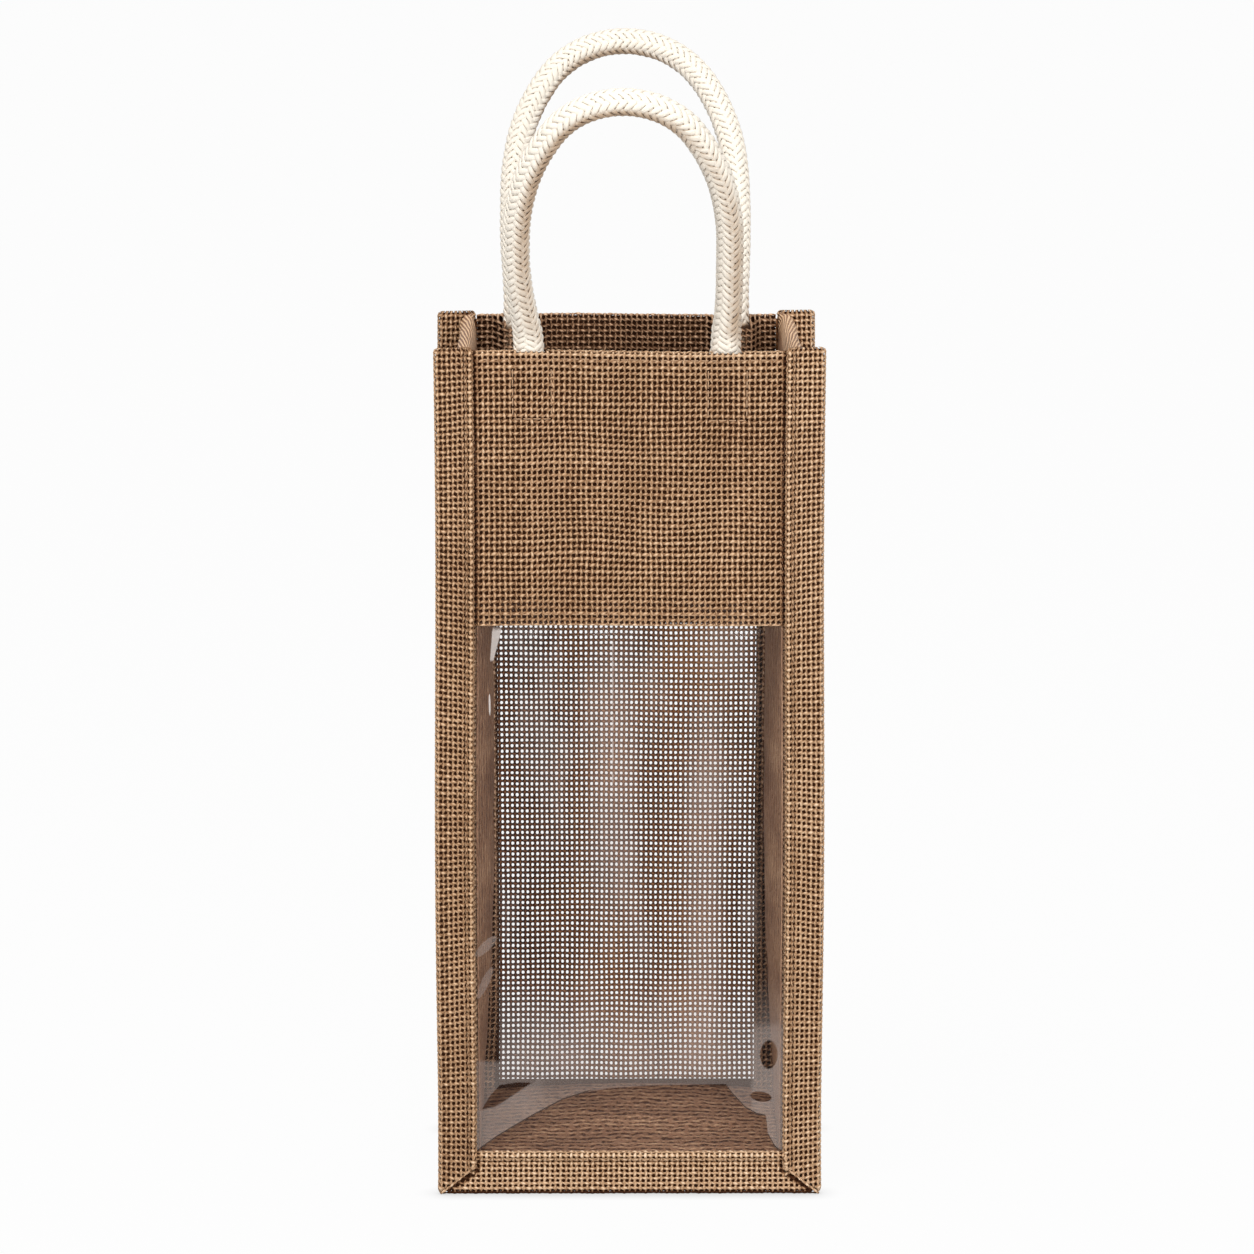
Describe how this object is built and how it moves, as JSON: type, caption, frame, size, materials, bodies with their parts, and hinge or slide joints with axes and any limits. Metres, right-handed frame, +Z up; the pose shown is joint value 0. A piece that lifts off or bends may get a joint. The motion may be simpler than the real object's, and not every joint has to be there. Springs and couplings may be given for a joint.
{
  "type": "bottle bag",
  "caption": "Tall open-topped bottle bag of woven jute with a clear front window, bound outer seams, a raised floor and two braided rope handles that swing.",
  "frame": {"origin": "on the floor, under the middle of the bag, which is also the middle of its bounding box with the handles leaning out as they stand", "axes": "+X to the right as seen from the front, +Y to the back, +Z up, from the floor to the rim"},
  "size_m": [0.162, 0.2056, 0.4773],
  "materials": {
    "jute_panel": "matte",
    "jute_strip": "matte",
    "jute_lined": "satin",
    "clear_film": "gloss",
    "cotton_braid": "matte",
    "cotton_filling": "matte",
    "thread": "matte"
  },
  "bodies": {
    "bag": {"front_panel": "jute_panel", "window_film": "clear_film", "front_left_binding": "jute_strip", "front_right_binding": "jute_strip", "front_bottom_binding": "jute_strip", "back_panel": "jute_panel", "back_left_binding": "jute_strip", "back_right_binding": "jute_strip", "back_bottom_binding": "jute_strip", "left_gusset": "jute_lined", "right_gusset": "jute_lined", "base_panel": "jute_lined", "front_handle_ends": "cotton_braid", "back_handle_ends": "cotton_braid", "window_stitches": "thread", "front_seam_stitches": "thread", "back_seam_stitches": "thread", "hem_stitches": "thread", "front_handle_stitches": "thread", "back_handle_stitches": "thread"},
    "front_handle": {"front_handle_cover": "cotton_braid", "front_handle_core": "cotton_filling"},
    "back_handle": {"back_handle_cover": "cotton_braid", "back_handle_core": "cotton_filling"}
  },
  "joints": [
    {"name": "front_handle_swing", "type": "hinge", "parent": "bag", "child": "front_handle", "pos_m": [0, -0.0511, 0.364], "axis": [1, 0, 0], "range_deg": [-43, 123]},
    {"name": "back_handle_swing", "type": "hinge", "parent": "bag", "child": "back_handle", "pos_m": [0, 0.0511, 0.364], "axis": [-1, 0, 0], "range_deg": [-43, 123]}
  ]
}
